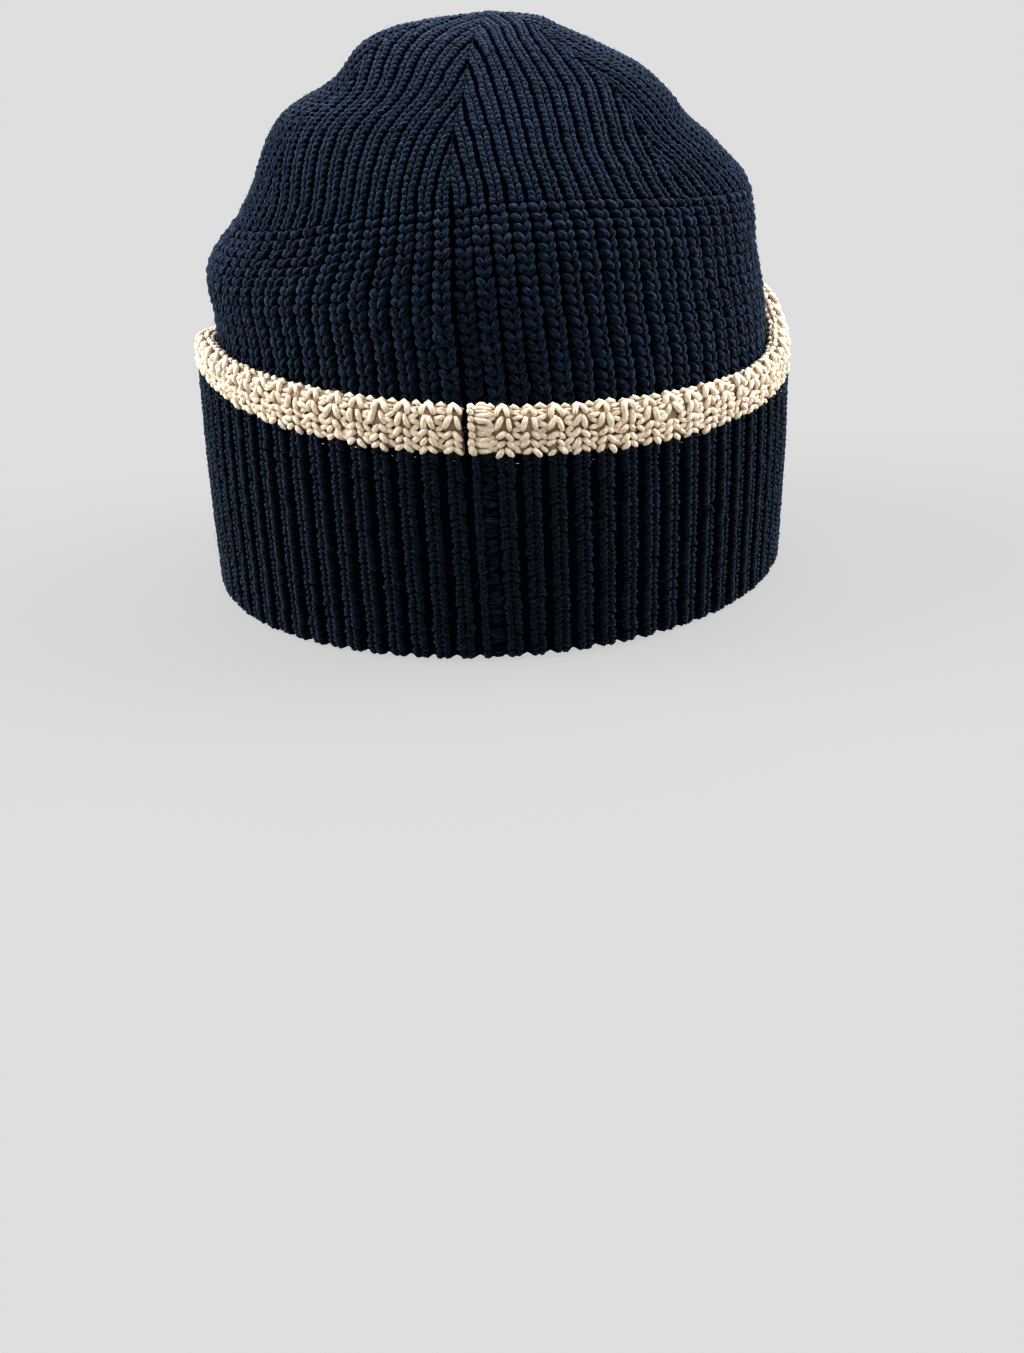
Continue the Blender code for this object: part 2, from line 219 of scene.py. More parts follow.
CREST_BAR = (  # y in mm
    (-0.16, -0.55, -0.90, 0.80, 0.60),
    (0.00, 0.00, -0.42, 1.08, 0.85),
    (0.16, 0.55, -0.90, 0.80, 0.60),
)
DOT = (  # y in mm
    (-0.05, 0.0, -0.50, 0.08, 0.08),
    (0.00, 0.1, -0.05, 0.16, 0.15),
    (0.05, 0.0, -0.50, 0.08, 0.08),
)
FIBRE = (  # x and y in mm
    (-1.0, -0.10, -0.50, 0.020, 0.020),
    (-0.4, 0.25, 0.10, 0.035, 0.035),
    (0.3, 0.15, 0.30, 0.035, 0.035),
    (0.9, -0.30, -0.10, 0.020, 0.020),
)
SEAM_STITCH = (
    (-0.03, 0.46, -0.95, 0.80, 0.50),
    (0.01, 0.00, -0.45, 1.25, 0.70),
    (0.03, -0.46, -0.95, 0.80, 0.50),
)
SEAM_BAR = (  # y in mm
    (-0.26, 0.16, -1.80, 0.50, 0.60),
    (-0.10, -0.06, -1.35, 0.78, 0.60),
    (0.12, 0.02, -1.35, 0.78, 0.60),
    (0.26, -0.12, -1.80, 0.50, 0.60),
)
SEAM_KNOB = (
    (-0.05, 0.44, -1.10, 0.70, 0.60),
    (0.01, 0.00, -0.55, 1.12, 0.90),
    (0.05, -0.44, -1.10, 0.70, 0.60),
)
SEAM_EDGE_BAR = (  # y in mm
    (-0.30, 0.22, -1.40, 0.60, 0.75),
    (-0.10, -0.08, -0.90, 0.88, 0.75),
    (0.12, 0.04, -0.90, 0.88, 0.75),
    (0.30, -0.16, -1.40, 0.60, 0.75),
)
SEAM_THREAD = (  # y in mm
    (0.00, -7.2, -1.80, 0.40, 0.60),
    (0.03, -3.0, -1.00, 0.62, 0.60),
    (-0.03, 1.0, -0.95, 0.66, 0.60),
    (0.02, 4.5, -1.00, 0.62, 0.60),
    (0.00, 8.2, -1.70, 0.40, 0.60),
)

# The photograph's frame and the camera's place. The focal length and the shifts are in its pixels.
PHOTO_HEIGHT = 1353
FOCAL_LENGTH = 2500
SHIFT_ACROSS = 18
SHIFT_UP = -224.5
SENSOR = 36.0
CAMERA_AT = (-0.0013, -0.745, 0.2235)
CAMERA_PITCH = 14.3     # how far it looks down, in degrees
CAMERA_ROLL = 3.2

BACKGROUND = 0.467      # light level that the contrasty look turns into the photograph's plain grey
FLOOR_ALBEDO = 0.045
FLOOR_REACH = 40.0

# Wide, soft lights. azimuth and elevation are where each one shines from, in degrees. Azimuth 0 is
# the camera's side, -Y, and 90 is the right. spread is the light's width, in degrees.
LAMPS = (
    {"name": "left_light", "azimuth": -100, "elevation": 34, "strength": 2.4, "spread": 50},
    {"name": "right_light", "azimuth": 100, "elevation": 34, "strength": 2.1, "spread": 50},
    {"name": "top_light", "azimuth": 165, "elevation": 62, "strength": 1.9, "spread": 60},
    {"name": "front_light", "azimuth": -15, "elevation": 55, "strength": 0.12, "spread": 60},
)

rng = np.random.default_rng(11)


def section_value(column, row):
    """A column of the crown's table at rows between its own, on a smooth curve."""
    values = CROWN_SECTIONS[:, COLUMNS.index(column)]
    first = np.clip(np.floor(row).astype(int), 0, LAST_ROW - 1)
    step = row - first
    before, low, high, after = (values[np.clip(first + k, 0, LAST_ROW)] for k in (-1, 0, 1, 2))
    slope_in, slope_out, rise = (high - before) / 2, (after - low) / 2, high - low
    curve = (slope_in + slope_out - 2 * rise) * step + 3 * rise - 2 * slope_in - slope_out
    return (curve * step + slope_in) * step + low


FINE_ROWS = np.linspace(0, LAST_ROW, 3001)
FINE_HEIGHTS = section_value("height", FINE_ROWS) * CROWN_HEIGHT


def row_of_height(height):
    return np.interp(height, FINE_HEIGHTS, FINE_ROWS)


def half_axes(azimuth, row):
    """The section's half width and half depth on each azimuth's side, and its height."""
    wide = np.where(np.cos(azimuth) < 0, section_value("left", row), section_value("right", row))
    deep = np.where(np.sin(azimuth) < 0, section_value("back", row), section_value("front", row))
    return wide * CROWN_WIDTH / 2, deep * CROWN_DEPTH / 2, section_value("height", row) * CROWN_HEIGHT


def aside(row):
    return section_value("aside", row) * CROWN_WIDTH / 2


def unit(vectors):
    return vectors / np.maximum(np.linalg.norm(vectors, axis=-1, keepdims=True), 1e-12)


def crown_point(azimuth, row, outward):
    """Points on the crown's outer form, moved outward along the form's normal."""
    azimuth, row, outward = np.broadcast_arrays(azimuth, row, outward)
    wide, deep, height = half_axes(azimuth, row)
    low, high = np.maximum(row - 0.05, 0.0), np.minimum(row + 0.05, LAST_ROW)
    slope = [b - a for a, b in zip(half_axes(azimuth, low), half_axes(azimuth, high))]
    cosine, sine = np.cos(azimuth), np.sin(azimuth)
    normal = unit(np.stack((
        deep * cosine * slope[2],
        wide * sine * slope[2],
        -(wide * slope[1] * sine ** 2 + deep * slope[0] * cosine ** 2),
    ), -1))
    point = np.stack((aside(row) + wide * cosine, deep * sine, height), -1)
    return point + normal * outward[..., None]


def wall_point(azimuth, height, outward):
    """Points level with these heights, moved straight outward from the crown's outer form."""
    azimuth, height, outward = np.broadcast_arrays(azimuth, height, outward)
    row = row_of_height(height)
    wide, deep, _ = half_axes(azimuth, row)
    cosine, sine = np.cos(azimuth), np.sin(azimuth)
    normal = unit(np.stack((deep * cosine, wide * sine), -1))
    flat = np.stack((aside(row) + wide * cosine, deep * sine), -1) + normal * outward[..., None]
    return np.concatenate((flat, height[..., None]), -1)


def cuff_top(azimuth):
    """The height of the contrast edge's crest. It rises to the front, and leans across both halves."""
    rise = CUFF_FRONT_RISE * ((1 + np.sin(azimuth)) / 2) ** 2
    begin, end = FAR_TILT_RANGE
    ahead = np.clip((np.sin(azimuth) - begin) / (end - begin), 0.0, 1.0)
    far = ahead * ahead * (3 - 2 * ahead)
    tilt = CUFF_FAR_TILT * far - CUFF_SIDE_TILT * (1 - far)
    return CUFF_BACK_HEIGHT + rise + tilt * np.cos(azimuth)


def edge_height(azimuth):
    """How tall the contrast edge is: least at the hat's two sides."""
    return EDGE_HEIGHT + (EDGE_SIDE_HEIGHT - EDGE_HEIGHT) * np.abs(np.cos(azimuth)) ** 3


def cuff_join(azimuth):
    return cuff_top(azimuth) - edge_height(azimuth)


def top_start(azimuth):
    rise = (TOP_START_BACK - TOP_START_SIDE) * np.sin(azimuth) ** 2
    return TOP_START_SIDE + rise + TOP_START_TILT * np.cos(azimuth)


def azimuth_of(turn, first, second="top", share=0.0):
    """The azimuth at a share of a turn round the ribs, with a lay between two of the named ones."""
    seam, bunch = (a + (b - a) * share for a, b in zip(RIB_LAY[first], RIB_LAY[second]))
    return np.radians(seam + 360 * turn + bunch * np.sin(math.tau * turn))


# Lengths along the crown's upright lines, so that rows can be spaced along the cloth
LINE_AZIMUTHS = np.linspace(-math.pi, math.pi, 361)
ARCS = np.linspace(-0.125, 0.125, 801)


def measure_lines():
    """For each azimuth, the table row at each length above the crown top's start.

    The second array is the length from that start to the apex.
    """
    rows = np.linspace(0, LAST_ROW, 801)
    points = crown_point(LINE_AZIMUTHS[:, None], rows[None, :], 0.0)
    steps = np.linalg.norm(np.diff(points, axis=1), axis=-1)
    lengths = np.concatenate((np.zeros((len(points), 1)), np.cumsum(steps, axis=1)), axis=1)
    starts = row_of_height(top_start(LINE_AZIMUTHS))
    table, to_apex = [], []
    for length, start in zip(lengths, starts):
        zero = np.interp(start, rows, length)
        table.append(np.interp(ARCS, length - zero, rows))
        to_apex.append(length[-1] - zero)
    return np.array(table), np.array(to_apex)


ROW_TABLE, APEX_LENGTHS = measure_lines()


def wrapped(azimuth):
    return (azimuth + math.pi) % math.tau - math.pi


def row_at(azimuth, arc):
    """The crown's table row that lies at a length along the cloth from the crown top's start."""
    i = (wrapped(azimuth) + math.pi) / math.tau * (len(LINE_AZIMUTHS) - 1)
    j = np.clip((arc - ARCS[0]) / (ARCS[-1] - ARCS[0]), 0, 1) * (len(ARCS) - 1)
    i0 = np.minimum(i.astype(int), len(LINE_AZIMUTHS) - 2)
    j0 = np.minimum(j.astype(int), len(ARCS) - 2)
    u, v = i - i0, j - j0
    low = ROW_TABLE[i0, j0] * (1 - v) + ROW_TABLE[i0, j0 + 1] * v
    high = ROW_TABLE[i0 + 1, j0] * (1 - v) + ROW_TABLE[i0 + 1, j0 + 1] * v
    return low * (1 - u) + high * u


def apex_length(azimuth):
    return np.interp(wrapped(azimuth), LINE_AZIMUTHS, APEX_LENGTHS)


def girth(row):
    return sum(section_value(key, row) for key in ("left", "right", "back", "front"))


def measure_kept_ribs():
    """The share of each gore's ribs that is left, at shares of the way up the crown top."""
    shares = np.linspace(0, 1, 201)
    start = row_of_height(top_start(np.array(math.pi / 4)))
    base = girth(row_of_height(np.array((TOP_START_BACK + TOP_START_SIDE) / 2)))
    return shares, np.minimum(1.0, RIB_HOLD * girth(start + (LAST_ROW - start) * shares) / base)


KEPT_SHARES, KEPT_VALUES = measure_kept_ribs()


def kept_ribs(azimuth, row):
    start = row_of_height(top_start(azimuth))
    return np.interp((row - start) / (LAST_ROW - start), KEPT_SHARES, KEPT_VALUES)


def place_wall(rib, arc, outward):
    """Side wall: ribs from the seam, and length along the cloth from the crown top's start."""
    turn = rib / RIBS
    share = np.full(np.shape(rib), 0.5)
    for _ in range(3):
        azimuth = azimuth_of(turn, "wall", "top", share)
        row = row_at(azimuth, arc)
        height = section_value("height", row) * CROWN_HEIGHT
        low = cuff_top(azimuth)
        share = np.clip((height - low) / (top_start(azimuth) - low), 0, 1)
    return crown_point(azimuth, row, outward)


def place_top(gore, across, up, outward):
    """Crown top: ribs from the gore's middle, and share of the way up the cloth to the apex."""
    azimuth = azimuth_of((gore + 0.5 + across / RIBS_PER_GORE) / GORES, "top")
    for _ in range(3):
        row = row_at(azimuth, up * apex_length(azimuth))
        half = np.maximum(RIBS_PER_GORE * kept_ribs(azimuth, row) / 2, 0.02)
        turn = (gore + 0.5 + np.clip(across / (2 * half), -0.5, 0.5)) / GORES
        azimuth = azimuth_of(turn, "top")
    return crown_point(azimuth, row, outward)


def place_cuff(rib, level, outward):
    """Cuff: ribs from the seam, and height up its face. Below RIM_RADIUS the face rolls under."""
    azimuth = azimuth_of(rib / RIBS, "cuff")
    face = CUFF_CLEARANCE + CUFF_THICK + CUFF_FLARE * np.clip(level / cuff_join(azimuth), 0, 1)
    roll = np.maximum((RIM_RADIUS - level) / RIM_RADIUS, 0)
    height = np.where(roll > 0, RIM_RADIUS - (RIM_RADIUS + outward) * np.sin(roll), level)
    reach = face - RIM_RADIUS + (RIM_RADIUS + outward) * np.cos(roll)
    return wall_point(azimuth, np.maximum(height, RIM_LOWEST), np.where(roll > 0, reach, face + outward))


EDGE_FACE = CUFF_CLEARANCE + CUFF_THICK + CUFF_FLARE
CREST_RADIUS = (CUFF_THICK + CUFF_FLARE + EDGE_PROUD) / 2


def place_edge(rib, along, outward):
    """Contrast edge: ribs from the seam, and length up its face, over its crest and down inside.

    Up to the crest, lengths are those of the edge at the back, and shrink with its height elsewhere.
    """
    azimuth = azimuth_of(rib / RIBS, "cuff")
    height = edge_height(azimuth)
    straight = height - CREST_RADIUS
    along = np.where(along < EDGE_HEIGHT, along * height / EDGE_HEIGHT, along + height - EDGE_HEIGHT)
    turn = np.clip((along - straight) / CREST_RADIUS, 0, math.pi)
    past = np.maximum(along - straight - math.pi * CREST_RADIUS, 0)
    proud = EDGE_PROUD * np.sin(np.clip(along / straight, 0, 1) * math.pi / 2)
    reach = np.where(turn > 0,
                     CUFF_CLEARANCE + CREST_RADIUS + (CREST_RADIUS + outward) * np.cos(turn),
                     EDGE_FACE + proud + outward)
    rise = np.minimum(along, straight) + (CREST_RADIUS + outward) * np.sin(turn) - past
    return wall_point(azimuth, cuff_join(azimuth) + rise, reach)


class Mesh:
    """Collects vertices, faces and per-vertex values for one piece."""

    def __init__(self):
        self.points, self.faces, self.values, self.count = [], [], [], 0

    def add(self, points, faces, values):
        """points (N, 3), faces (F, 3 or 4) and values (N, 3): tint, along and around."""
        self.points.append(points)
        self.faces.append(faces + self.count)
        self.values.append(values)
        self.count += len(points)

    def build(self, name, material, slot, *nodes):
        mesh = bpy.data.meshes.new(name)
        points = np.concatenate(self.points).astype(np.float32)
        sizes = np.concatenate([np.full(len(f), f.shape[1]) for f in self.faces])
        corners = np.concatenate([f.ravel() for f in self.faces]).astype(np.int32)
        mesh.vertices.add(len(points))
        mesh.vertices.foreach_set("co", points.ravel())
        mesh.loops.add(len(corners))
        mesh.loops.foreach_set("vertex_index", corners)
        mesh.polygons.add(len(sizes))
        starts = np.concatenate(([0], np.cumsum(sizes)[:-1])).astype(np.int32)
        mesh.polygons.foreach_set("loop_start", starts)
        values = np.concatenate(self.values).astype(np.float32)
        for k, key in enumerate(("tint", "along", "around")):
            mesh.attributes.new(key, "FLOAT", "POINT").data.foreach_set("value", values[:, k].copy())
        mesh.update(calc_edges=True)
        mesh.shade_smooth()
        mesh.materials.append(material)
        piece = bpy.data.objects.new(name, mesh)
        bpy.context.scene.collection.objects.link(piece)
        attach(piece, "root")
        if nodes:
            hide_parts(*nodes)


def bean(table, width, height, sides=6, sink=0.0):
    """A closed length of yarn through a table's rows, for a rib's width and a row's height.

    Gives its vertices, its faces as triangles, and each vertex's place along and round the yarn.
    """
    x, y, out, across, thick = np.array(table).T
    path = np.stack((x * width, y * height, (out - sink) * MM), -1)
    tangent = unit(np.gradient(path, axis=0))
    side = unit(np.cross(tangent, (0.0, 0.0, 1.0)))
    over = np.cross(side, tangent)
    side, over = side * across[:, None] * MM, over * thick[:, None] * MM
    angle = np.arange(sides) * math.tau / sides - math.pi / 2
    rings = (path[:, None] + np.cos(angle)[None, :, None] * side[:, None]
             + np.sin(angle)[None, :, None] * over[:, None])
    reach = across[[0, -1], None] * MM / 2
    tips = path[[0, -1]] + tangent[[0, -1]] * reach * ((-1,), (1,))
    points = np.concatenate((rings.reshape(-1, 3), tips))
    count = len(path)
    faces = []
    for k in range(count - 1):
        for s in range(sides):
            a, b = k * sides + s, k * sides + (s + 1) % sides
            faces += [(a, b, b + sides), (a, b + sides, a + sides)]
    first, last = count * sides, count * sides + 1
    for s in range(sides):
        faces.append((first, (s + 1) % sides, s))
        faces.append((last, (count - 1) * sides + s, (count - 1) * sides + (s + 1) % sides))
    along = np.concatenate((np.repeat(np.linspace(0, 1, count), sides), (0, 1)))
    around = np.concatenate((np.tile(np.arange(sides) / sides, count), (0.5, 0.5)))
    return points, np.array(faces), along, around


def lay_beans(mesh, shape, centres, place, turn=5.0, size=0.07, shift=0.00012):
    """Copies of a bean at centres (N, 2), each a little turned, scaled and shifted, then placed.

    place gets each copy's number, its centre's two values, and its x, y and outward arrays.
    """
    points, faces, along, around = shape
    count = len(centres)
    angle = np.radians(rng.normal(0, turn, count))[:, None]
    scale = 1 + rng.normal(0, size, (count, 1))
    moved = rng.normal(0, shift, (count, 3))
    x = (points[:, 0] * np.cos(angle) - points[:, 1] * np.sin(angle)) * scale + moved[:, :1]
    y = (points[:, 0] * np.sin(angle) + points[:, 1] * np.cos(angle)) * scale + moved[:, 1:2]
    out = points[:, 2] * np.ones((count, 1)) + moved[:, 2:]
    numbers = np.arange(count)[:, None] * np.ones((1, len(points)), int)
    placed = place(numbers, centres[:, :1] + 0 * x, centres[:, 1:] + 0 * y, x, y, out)
    values = np.stack((
        np.repeat(rng.random(count), len(points)),
        np.tile(along, count) + np.repeat(rng.random(count), len(points)) * 3,
        np.tile(around, count),
    ), -1)
    offsets = (np.arange(count) * len(points))[:, None, None]
    mesh.add(placed.reshape(-1, 3), (faces[None] + offsets).reshape(-1, 3), values)


def sheet(mesh, rings, tips=()):
    """A skin through rings of the same number of points.

    With two tips it ends in a point before its first ring and after its last, and is else closed round.
    """
    columns, count, base = len(rings[0]), len(rings), mesh.count
    points = np.concatenate((*rings, np.array(tips).reshape(-1, 3)))
    k = np.arange(columns)
    beside = (k + 1) % columns
    pairs = [(ring, (ring + 1) % count) for ring in range(count - 1 if tips else count)]
    faces = [np.stack((a * columns + k, a * columns + beside,
                       b * columns + beside, b * columns + k), -1) for a, b in pairs]
    mesh.add(points, np.concatenate(faces), np.full((len(points), 3), 0.5))
    for number, ring in enumerate((0, count - 1)[:len(tips)]):
        start, tip = base + ring * columns, base + count * columns + number
        fan = np.stack((start + k, start + beside, np.full(columns, tip)), -1)
        mesh.faces.append(fan if number else fan[:, ::-1])


def rib_shape(across):
    """How far the cloth under the stitches drops across a rib: 0 at its middle, 1 in the groove."""
    phase = np.abs((across % 1.0) - 0.5) * 2
    return np.clip((phase - 0.55) / 0.45, 0, 1) ** 1.5


def cloth_drop(part, groove):
    middle, deeper = CLOTH_DROP[part]
    return -middle - deeper * groove


def inner_face(across):
    """How far out the knit's inner face lies, with its ribs."""
    return INNER_RELIEF * np.cos(math.tau * across) - KNIT_THICK


def wobble(rib, level, size):
    """Slow sideways wander of the ribs, which no knit is free of."""
    return size * (np.sin(rib * 1.7 + level * 55) + 0.6 * np.sin(rib * 0.61 - level * 118 + 1.3)) / 1.6


def seam_form(rib):
    """Beside the crown's back seam: how far each rib is pushed away from it, and how proud it stands."""
    past = (rib + RIBS / 2) % RIBS - RIBS / 2
    left, right = np.exp(-((past + 0.5) / 0.5) ** 4), np.exp(-((past - 0.5) / 0.5) ** 4)
    to_left, to_right = SEAM_PUSH
    return to_right * right - to_left * left, SEAM_LIFT * left - SEAM_LIFT * right


def add_node(tree, kind, values, operation=None):
    """A shader node. values gives inputs either plain values or the outputs that feed them."""
    node = tree.nodes.new(kind)
    if operation:
        node.operation = operation
    for key, value in values.items():
        if isinstance(value, bpy.types.NodeSocket):
            tree.links.new(value, node.inputs[key])
        else:
            node.inputs[key].default_value = value
    return node


def noise(tree, vector, scale, detail, roughness):
    values = {"Vector": vector, "Scale": scale, "Detail": detail, "Roughness": roughness}
    return add_node(tree, "ShaderNodeTexNoise", values).outputs["Fac"]


def stitch_value(tree, key):
    node = tree.nodes.new("ShaderNodeAttribute")
    node.attribute_name = key
    return node.outputs["Fac"]


def shades(tree, place, first, second, third):
    """Colour that shifts between three yarn shades: slowly over the hat, and from stitch to stitch."""
    slow = noise(tree, place, scale=95.0, detail=6.0, roughness=0.75)
    spread = add_node(tree, "ShaderNodeMath", {0: slow, 1: 1.1, 2: -0.23}, "MULTIPLY_ADD")
    values = {0: stitch_value(tree, "tint"), 1: 0.35, 2: spread.outputs[0]}
    blend = add_node(tree, "ShaderNodeMath", values, "MULTIPLY_ADD")
    ramp = add_node(tree, "ShaderNodeValToRGB", {"Fac": blend.outputs[0]})
    low, high = ramp.color_ramp.elements
    low.color, low.position = (*first, 1.0), 0.15
    high.color, high.position = (*third, 1.0), 0.85
    ramp.color_ramp.elements.new(0.5).color = (*second, 1.0)
    return ramp.outputs["Color"]


def streaks(tree):
    """Fine fibres that run along the yarn: noise drawn out along it, and different on every stitch."""
    axes = {}
    for axis, key, scale in (("X", "along", 3.2), ("Y", "around", 7.0), ("Z", "tint", 60.0)):
        values = {0: stitch_value(tree, key), 1: scale}
        axes[axis] = add_node(tree, "ShaderNodeMath", values, "MULTIPLY").outputs[0]
    vector = add_node(tree, "ShaderNodeCombineXYZ", axes).outputs[0]
    return noise(tree, vector, scale=1.0, detail=2.0, roughness=0.6)


def yarn(name, colours, roughness, sheen, sheen_tint, contrast):
    """A soft cotton yarn. contrast: painted shade in the relief's hollows and highlight on its ridges, as a
    share of the colour.
    """
    material = bpy.data.materials.new(name)
    material.use_nodes = True
    tree = material.node_tree
    place = tree.nodes.new("ShaderNodeTexCoord").outputs["Object"]
    grain = noise(tree, place, scale=2400, detail=3.0, roughness=0.6)
    relief = add_node(tree, "ShaderNodeMix", {"Factor": 0.30, "A": streaks(tree), "B": grain})
    height = relief.outputs["Result"]
    bump = add_node(tree, "ShaderNodeBump", {"Strength": 1.0, "Distance": 0.6 * MM, "Height": height})
    # Colour follows the bump's height: painted shade in its hollows, painted highlight on its ridges.
    values = {"From Min": 0.38, "From Max": 0.62, "To Min": 1.0 - contrast, "To Max": 1.0 + contrast}
    level = add_node(tree, "ShaderNodeMapRange", {"Value": height, **values})
    values = {0: shades(tree, place, *colours), "Scale": level.outputs["Result"]}
    scaled = add_node(tree, "ShaderNodeVectorMath", values, "SCALE")
    shader = tree.nodes["Principled BSDF"]
    tree.links.new(scaled.outputs["Vector"], shader.inputs["Base Color"])
    tree.links.new(bump.outputs["Normal"], shader.inputs["Normal"])
    shader.inputs["Roughness"].default_value = roughness
    shader.inputs["Specular IOR Level"].default_value = 0.06
    shader.inputs["Sheen Weight"].default_value = sheen
    shader.inputs["Sheen Roughness"].default_value = 0.55
    shader.inputs["Sheen Tint"].default_value = (*sheen_tint, 1.0)
    return material


NAVY = yarn(
    "navy_yarn",
    ((0.015, 0.032, 0.048), (0.019, 0.030, 0.056), (0.026, 0.029, 0.050)),
    roughness=0.9, sheen=0.24, sheen_tint=(0.76, 0.87, 1.0), contrast=0.95,
)
# The cuff's yarn: a darker, less blue copy of the navy yarn, painted shade for the cuff's lower light.
CUFF_NAVY_PAINTED_SHADE = yarn(
    "cuff_navy_yarn_painted_shade",
    ((0.015, 0.028, 0.041), (0.019, 0.026, 0.044), (0.026, 0.026, 0.043)),
    roughness=0.9, sheen=0.25, sheen_tint=(0.70, 0.85, 1.0), contrast=0.95,
)
# The navy yarn darkened and without sheen: painted shade for the cloth under the stitches, its grooves, the
# hat's inside and the edge's seam thread.
NAVY_PAINTED_SHADE = yarn(
    "navy_yarn_painted_shade",
    ((0.004, 0.009, 0.019), (0.005, 0.009, 0.020), (0.006, 0.009, 0.018)),
    roughness=1.0, sheen=0.0, sheen_tint=(0.66, 0.80, 1.0), contrast=0.5,
)
# Stray navy fibres, coloured far paler than their yarn: painted sheen of the fuzz.
LINT_PAINTED_SHEEN = yarn(
    "lint",
    ((0.10, 0.13, 0.17), (0.12, 0.14, 0.20), (0.15, 0.16, 0.21)),
    roughness=0.9, sheen=0.2, sheen_tint=(0.78, 0.87, 1.0), contrast=0.3,
)
CREAM = yarn(
    "cream_yarn",
    ((0.78, 0.68, 0.56), (0.83, 0.73, 0.61), (0.86, 0.77, 0.66)),
    roughness=0.9, sheen=0.05, sheen_tint=(1.0, 0.96, 0.91), contrast=0.20,
)
# The cream yarn darkened and browned: painted shade for the cloth in the holes between the edge's stitches.
CREAM_PAINTED_SHADE = yarn(
    "cream_yarn_painted_shade",
    ((0.34, 0.265, 0.19), (0.40, 0.32, 0.235), (0.45, 0.365, 0.275)),
    roughness=0.95, sheen=0.02, sheen_tint=(1.0, 0.95, 0.88), contrast=0.2,
)


def rib_columns():
    return np.arange(RIBS * COLUMNS_PER_RIB) / COLUMNS_PER_RIB


def on_wall(_, rib, arc, x, y, out):
    return place_wall(rib + x / RIB_PITCH, arc + y, out)


def on_cuff(_, rib, level, x, y, out):
    return place_cuff(rib + x / CUFF_RIB_PITCH, level + y, out)


def on_edge(_, rib, along, x, y, out):
    return place_edge(rib + x / CUFF_RIB_PITCH, along + y, out)


def build_wall():
    """The side wall: plump, uneven V stitches over a ribbed cloth that is darkened as painted shade."""
    columns = rib_columns()
    arcs = np.linspace(-WALL_LENGTH, 0.0, WALL_RINGS)
    drop, inside = cloth_drop("wall", rib_shape(columns)), inner_face(columns)

    def ring(arc, outward):
        points = place_wall(columns, np.full_like(columns, arc), outward)
        points[:, 2] = np.maximum(points[:, 2], WALL_LOW)
        return points

    cloth = Mesh()
    outer = [ring(arc, drop) for arc in arcs]
    inner = [ring(arc, inside + ROW_RELIEF * (k % 2)) for k, arc in enumerate(arcs[::-1])]
    sheet(cloth, outer + inner)
    cloth.build("wall_cloth", NAVY_PAINTED_SHADE, "navy_knit", "side_wall")

    ribs, rows = np.meshgrid(np.arange(RIBS) + 0.5, np.arange(WALL_ROWS), indexing="ij")
    centres = np.stack((ribs.ravel(), -(rows.ravel() + 0.5) * WALL_PITCH), -1)
    azimuths = azimuth_of(centres[:, 0] / RIBS, "wall")
    points = place_wall(centres[:, 0], centres[:, 1], np.zeros(len(centres)))
    centres = centres[points[:, 2] > cuff_top(azimuths) - 1.5 * WALL_PITCH]

    def place(_, rib, arc, x, y, out):
        apart, lift = seam_form(rib)
        across = rib + (x + wobble(rib, arc, WANDER["wall"])) / RIB_PITCH + apart
        return place_wall(across, np.minimum(arc + y, WALL_OVERLAP), out + lift)

    def place_knot(numbers, rib, arc, x, y, out):
        return place(numbers, rib, arc, x * KNOT_SIZE, y * KNOT_SIZE, out + KNOT_PROUD)

    stitches = Mesh()
    for table in (WALL_LEFT, WALL_RIGHT):
        lay_beans(stitches, bean(table, RIB_PITCH, WALL_PITCH), centres, place, turn=4, size=0.05)
    strand = bean(WALL_RIGHT, RIB_PITCH, WALL_PITCH)
    lay_beans(stitches, strand, KNOT, place_knot, turn=50, size=0.1, shift=0.0003)
    stitches.build("wall_stitches", NAVY, "navy_knit", "side_wall")


def top_centres():
    """The gore, the rib from the gore's middle and the share of the way up of each stitch."""
    found = []
    for gore in range(GORES):
        middle = azimuth_of(np.array((gore + 0.5) / GORES), "top")
        for row in range(TOP_ROWS):
            up = (row + 0.5) / TOP_ROWS
            half = RIBS_PER_GORE * kept_ribs(middle, row_at(middle, up * apex_length(middle))) / 2
            for rib in range(-(RIBS_PER_GORE // 2), RIBS_PER_GORE // 2 + 1):
                if abs(rib) < half + DART_OVERLAP:
                    found.append((gore, rib, up))
    return np.array(found)


